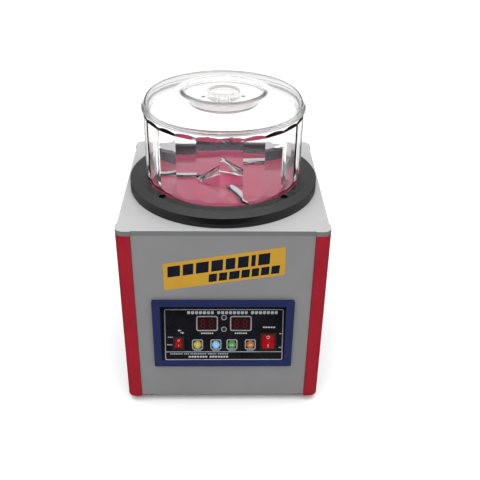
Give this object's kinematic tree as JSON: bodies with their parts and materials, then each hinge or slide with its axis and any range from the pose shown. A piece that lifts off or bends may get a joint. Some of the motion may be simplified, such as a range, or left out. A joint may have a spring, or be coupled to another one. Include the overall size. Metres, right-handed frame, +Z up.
{
  "type": "magnetic pin tumbler",
  "caption": "Benchtop tumbling and polishing machine: a square painted case with sloped timer controls, and a clear lidded bowl seated in a round collar over a motor-driven magnet disc.",
  "frame": {"origin": "centre of the overall box's underside, which is the surface the feet stand on", "axes": "+X to the right of a person facing the controls, +Y away from them, +Z up"},
  "size_m": [0.26, 0.2742, 0.4033],
  "materials": {
    "cover_paint": "fine-textured light grey powder coat",
    "panel_paint": "fine-textured mid grey powder coat",
    "post_red": "satin dark red coat",
    "foot_rubber": "matt black",
    "screw_steel": "zinc plated",
    "screw_dark": "black oxide",
    "ring_black": "turned, satin black",
    "seat_red": "smooth red",
    "bowl_clear": "clear moulded",
    "lid_clear": "clear moulded, slightly hazy",
    "knob_clear": "clear moulded, ribbed",
    "bezel_blue": "glossy dark blue",
    "plate_black": "glossy black film with silver print",
    "window_red": "dark red smoked window",
    "lamp_red": "red indicator lens",
    "button_yellow": "yellow",
    "button_blue": "light blue",
    "button_green": "green",
    "button_orange": "orange",
    "rocker_red": "translucent red",
    "switch_black": "black moulded",
    "board_green": "solder resist green",
    "spacer_brass": "bare",
    "bare_steel": "zinc plated",
    "bare_aluminium": "turned",
    "motor_black": "black enamel",
    "magnet_nickel": "nickel plated",
    "core_iron": "varnished laminations",
    "wire_sleeve": "black insulation",
    "fan_black": "black moulded",
    "guard_chrome": "plated wire"
  },
  "bodies": {
    "case": {"cover_plate": "cover_paint", "base_plate": "panel_paint", "corner_post_front_left": "post_red", "corner_post_front_right": "post_red", "corner_post_rear_right": "post_red", "corner_post_rear_left": "post_red", "feet": "foot_rubber", "foot_screws": "screw_steel", "front_panel": "panel_paint", "left_panel": "panel_paint", "right_panel": "panel_paint", "rear_panel": "panel_paint", "case_screws": "screw_steel", "seat_ring": "ring_black", "ring_screws": "screw_dark", "seat_floor": "seat_red", "bezel": "bezel_blue", "control_plate": "plate_black", "display_windows": "window_red", "display_modules": "switch_black", "timer_lamps": "lamp_red", "button_switches": "switch_black", "power_rocker_housing": "switch_black", "reverse_rocker_housing": "switch_black", "control_board": "board_green", "board_spacers": "spacer_brass", "motor_pillars": "bare_steel", "rubber_bushes": "foot_rubber", "pillar_screws": "screw_steel", "motor_plate": "bare_steel", "motor_tube": "motor_black", "motor_cap_upper": "bare_aluminium", "motor_cap_lower": "bare_aluminium", "motor_bearings": "bare_steel", "motor_screws": "screw_steel", "power_board": "board_green", "transformer": "core_iron", "smoothing_capacitor": "bare_aluminium", "wiring": "wire_sleeve", "power_inlet": "switch_black", "fuse_holder": "switch_black", "fuse_cap": "switch_black", "fan_frame": "fan_black", "fan_guard": "guard_chrome", "fan_screws": "screw_steel"},
    "rotor": {"motor_shaft": "bare_steel", "motor_armature": "bare_steel", "drive_hub": "bare_aluminium", "magnet_disc": "bare_aluminium", "magnets": "magnet_nickel"},
    "fan": {"fan_rotor": "fan_black"},
    "bowl": {"bowl": "bowl_clear"},
    "lid": {"lid": "lid_clear", "lid_knob": "knob_clear"},
    "button_1": {"button_cap_1": "button_yellow"},
    "button_2": {"button_cap_2": "button_blue"},
    "button_3": {"button_cap_3": "button_green"},
    "button_4": {"button_cap_4": "button_orange"},
    "power_switch": {"power_rocker": "rocker_red"},
    "reverse_switch": {"reverse_rocker": "rocker_red"}
  },
  "joints": [
    {"name": "rotor_spin", "type": "hinge", "parent": "case", "child": "rotor", "pos_m": [0, -0.0034, 0.2], "axis": [0, 0, 1], "continuous": true},
    {"name": "fan_spin", "type": "hinge", "parent": "case", "child": "fan", "pos_m": [0.048, 0.119, 0.15], "axis": [0, 1, 0], "continuous": true},
    {"name": "bowl_lift", "type": "slide", "parent": "case", "child": "bowl", "axis": [0, 0, 1], "range_m": [0, 0.18]},
    {"name": "lid_lift", "type": "slide", "parent": "bowl", "child": "lid", "axis": [0, 0, 1], "range_m": [0, 0.12]},
    {"name": "button_1_press", "type": "slide", "parent": "case", "child": "button_1", "axis": [0, 0.9659, -0.2588], "range_m": [0, 0.0012], "stiffness_N_per_m": 400},
    {"name": "button_2_press", "type": "slide", "parent": "case", "child": "button_2", "axis": [0, 0.9659, -0.2588], "range_m": [0, 0.0012], "stiffness_N_per_m": 400},
    {"name": "button_3_press", "type": "slide", "parent": "case", "child": "button_3", "axis": [0, 0.9659, -0.2588], "range_m": [0, 0.0012], "stiffness_N_per_m": 400},
    {"name": "button_4_press", "type": "slide", "parent": "case", "child": "button_4", "axis": [0, 0.9659, -0.2588], "range_m": [0, 0.0012], "stiffness_N_per_m": 400},
    {"name": "power_switch_tilt", "type": "hinge", "parent": "case", "child": "power_switch", "pos_m": [0.0593, -0.12753, 0.10128], "axis": [1, 0, 0], "range_deg": [0, 18]},
    {"name": "reverse_switch_tilt", "type": "hinge", "parent": "case", "child": "reverse_switch", "pos_m": [-0.0586, -0.12808, 0.09925], "axis": [1, 0, 0], "range_deg": [0, 18]}
  ]
}
